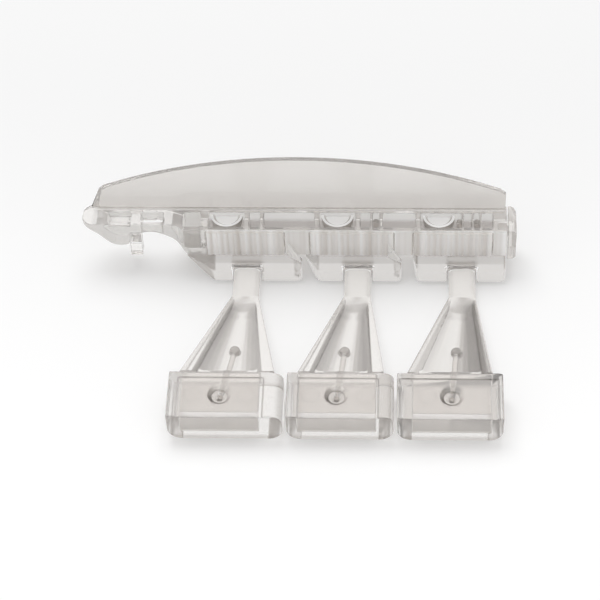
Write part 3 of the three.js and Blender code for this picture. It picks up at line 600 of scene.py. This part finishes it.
def arm(number):
    """The arm: painted scoop shading on its fan, plain on its stem and tongue, and clearer at its hinge."""
    piece = moulded("arm_" + number, ARM_SKIN, SCOOPS[number])
    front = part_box("key_block_" + number)[HIGH][Y] + FAN_FRONT_MM * MM
    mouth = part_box("socket_" + number)[LOW][Y]
    back = mouth - STEM_MM * MM
    zoned(piece, BODY, lambda face: not front < face.center.y < back)
    zoned(piece, HINGE, lambda face: face.center.y > mouth)


def dimple_place(number):
    """The middle of a block's countersink, where the lower end of its latch pin comes out."""
    low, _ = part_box("latch_pin_" + number)
    return Vector((low[X] + LATCH_RADIUS_MM * MM, low[Y]))


def key_block(number):
    """The block, with its countersink in the polished finish, painted bright on one side and dark on the
    other.
    """
    piece = creased("key_block_" + number, BLOCK, edge_mm=BLOCK_EDGE_MM)
    middle = dimple_place(number)
    gentle, flat = DIMPLE_SLOPES
    zoned(piece, DIMPLE, lambda face: (
        (Vector(face.center[:2]) - middle).length < DIMPLE_REACH_MM * MM
        and gentle < face.normal.z < flat
    ))


def add_ring(shape, x, y, z):
    """Adds a thin wire ring, lying level about its middle."""
    grid = []
    for turn in range(RING_TURNS):
        around = 2 * math.pi * turn / RING_TURNS
        row = []
        for side in range(RING_SIDES):
            tilt = 2 * math.pi * side / RING_SIDES
            reach = (RING_RADIUS_MM + RING_WIRE_MM * math.cos(tilt)) * MM
            row.append(shape.verts.new((
                x + reach * math.cos(around),
                y + reach * math.sin(around),
                z + RING_WIRE_MM * MM * math.sin(tilt),
            )))
        grid.append(row)
    for turn, row in enumerate(grid):
        ahead = grid[(turn + 1) % RING_TURNS]
        for side in range(RING_SIDES):
            up = (side + 1) % RING_SIDES
            face = shape.faces.new((row[side], ahead[side], ahead[up], row[up]))
            face.smooth = True


def ejector_rings(number):
    """The rings in the pan of a block, which ride with it."""
    middle = dimple_place(number)
    block = "key_block_" + number
    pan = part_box(block)[HIGH][Z] - PAN_DEPTH_MM * MM
    shape = bmesh.new()
    for shift in RING_SHIFTS_MM[number]:
        add_ring(shape, middle.x + shift * MM, middle.y, pan)
    mesh = bpy.data.meshes.new("ejector_rings_" + number)
    shape.to_mesh(mesh)
    shape.free()
    mesh.materials.append(BODY)
    rings = new_object("ejector_rings_" + number, mesh)
    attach(rings, body_of(block))


aim_camera()

rail()
moulded("end_clip", CLIP_SKIN)
moulded("locating_foot", FOOT_SKIN, HINGE)
for number in "123":
    socket(number)
    arm(number)
    key_block(number)
    ejector_rings(number)
    creased("collimator_" + number, CUP)
    creased("rib_lens_" + number)
    creased("locating_post_" + number)
    hinge_pin(number)
    creased("latch_pin_" + number)
light_blade()


# Studio
FLOOR_REACH_MM = 3000
# The paper's colour is painted lighter towards the camera, a painted pool of light
PAPER_FAR = (70, "F4F4F4")  # how far back in mm, and its colour from there on
PAPER_NEAR = (-45, WHITE)
PAPER_ROUGHNESS = 0.5
PLAIN_WHITE = 1  # a strength
TENT = "F8F8F8"
TENT_LOW = 0.58
TENT_HIGH = 0.77
TENT_SHOULDER = 0.8  # how high up, as a share of straight up, the tent is at its brightest
LAMP_PLACE_MM = Vector((-100, 500, 1000))
LAMP_LENGTH_MM = 900
LAMP_WIDTH_MM = 600
LAMP_WATTS = 6.2
PLASTIC_BOUNCES = 24
SHADOW_FACES = 32  # of the plastic, one behind another


def white_paper():
    """Matt white paper with painted light: lighter towards the camera. It shines plain white through the
    plastic and in its reflections.
    """
    material = bpy.data.materials.new("paper_matt_white")
    tree = empty_tree(material)
    place = add_node(tree, "TexCoord", {}, {})
    axes = add_node(tree, "SeparateXYZ", {}, {"Vector": place.outputs["Object"]})
    far_mm, far_colour = PAPER_FAR
    near_mm, near_colour = PAPER_NEAR
    near = add_node(
        tree, "MapRange",
        {"interpolation_type": "SMOOTHSTEP", "From Min": far_mm * MM, "From Max": near_mm * MM},
        {"Value": axes.outputs["Y"]},
    )
    # Painted light: the paper's colour grows whiter towards the camera
    white = add_node(
        tree, "Mix", {"data_type": "RGBA", COLOUR_A: linear(far_colour), COLOUR_B: linear(near_colour)},
        {0: near.outputs["Result"]},
    ).outputs[COLOUR_OUT]
    paper = add_node(tree, "BsdfDiffuse", {"Roughness": PAPER_ROUGHNESS}, {"Color": white})
    bright = add_node(tree, "Emission", {"Strength": PLAIN_WHITE}, {"Color": white})
    path = add_node(tree, "LightPath", {}, {})
    in_plastic = add_node(
        tree, "Math", {"operation": "MAXIMUM"},
        {0: path.outputs["Is Glossy Ray"], 1: path.outputs["Is Transmission Ray"]},
    )
    both = add_node(
        tree, "MixShader", {}, {0: in_plastic.outputs[0], 1: paper.outputs[0], 2: bright.outputs[0]},
    )
    add_node(tree, "OutputMaterial", {}, {"Surface": both.outputs[0]})
    return material


def build_floor():
    """One sheet of paper, with painted light that makes it a little brighter towards the camera."""
    reach = FLOOR_REACH_MM * MM
    mesh = bpy.data.meshes.new("floor")
    mesh.from_pydata(
        [(-reach, -reach, 0), (reach, -reach, 0), (reach, reach, 0), (-reach, reach, 0)],
        [], [(0, 1, 2, 3)],
    )
    mesh.materials.append(white_paper())
    new_object("floor", mesh)


def build_tent():
    """A white tent that gives less light low down. It is plain white to the eye and in the plastic."""
    world = bpy.data.worlds.new("studio")
    bpy.context.scene.world = world
    tree = empty_tree(world)
    way = add_node(tree, "TexCoord", {}, {})
    axes = add_node(tree, "SeparateXYZ", {}, {"Vector": way.outputs["Generated"]})
    strength = add_node(
        tree, "MapRange",
        {
            "interpolation_type": "SMOOTHSTEP",
            "From Max": TENT_SHOULDER,
            "To Min": TENT_LOW,
            "To Max": TENT_HIGH,
        },
        {"Value": axes.outputs["Z"]},
    ).outputs["Result"]
    path = add_node(tree, "LightPath", {}, {})
    for ray in ("Is Camera Ray", "Is Glossy Ray", "Is Transmission Ray"):
        strength = add_node(
            tree, "Math", {"operation": "MAXIMUM"}, {0: strength, 1: path.outputs[ray]},
        ).outputs[0]
    sky = add_node(tree, "Background", {"Color": linear(TENT)}, {"Strength": strength})
    add_node(tree, "OutputWorld", {}, {"Surface": sky.outputs[0]})


def build_lamp():
    """One soft box above and behind the piece, which doesn't show in the plastic."""
    lamp = bpy.data.lights.new("soft_box_above", "AREA")
    lamp.shape = "RECTANGLE"
    lamp.size = LAMP_LENGTH_MM * MM
    lamp.size_y = LAMP_WIDTH_MM * MM
    lamp.energy = LAMP_WATTS
    box = new_object("soft_box_above", lamp)
    box.visible_glossy = False
    box.visible_transmission = False
    box.location = LAMP_PLACE_MM * MM
    box.rotation_euler = (-box.location).to_track_quat("-Z", "Y").to_euler()


build_floor()
build_tent()
build_lamp()

scene = bpy.context.scene
scene.view_settings.view_transform = "Standard"
scene.cycles.max_bounces = PLASTIC_BOUNCES
scene.cycles.transmission_bounces = PLASTIC_BOUNCES
scene.cycles.transparent_max_bounces = SHADOW_FACES
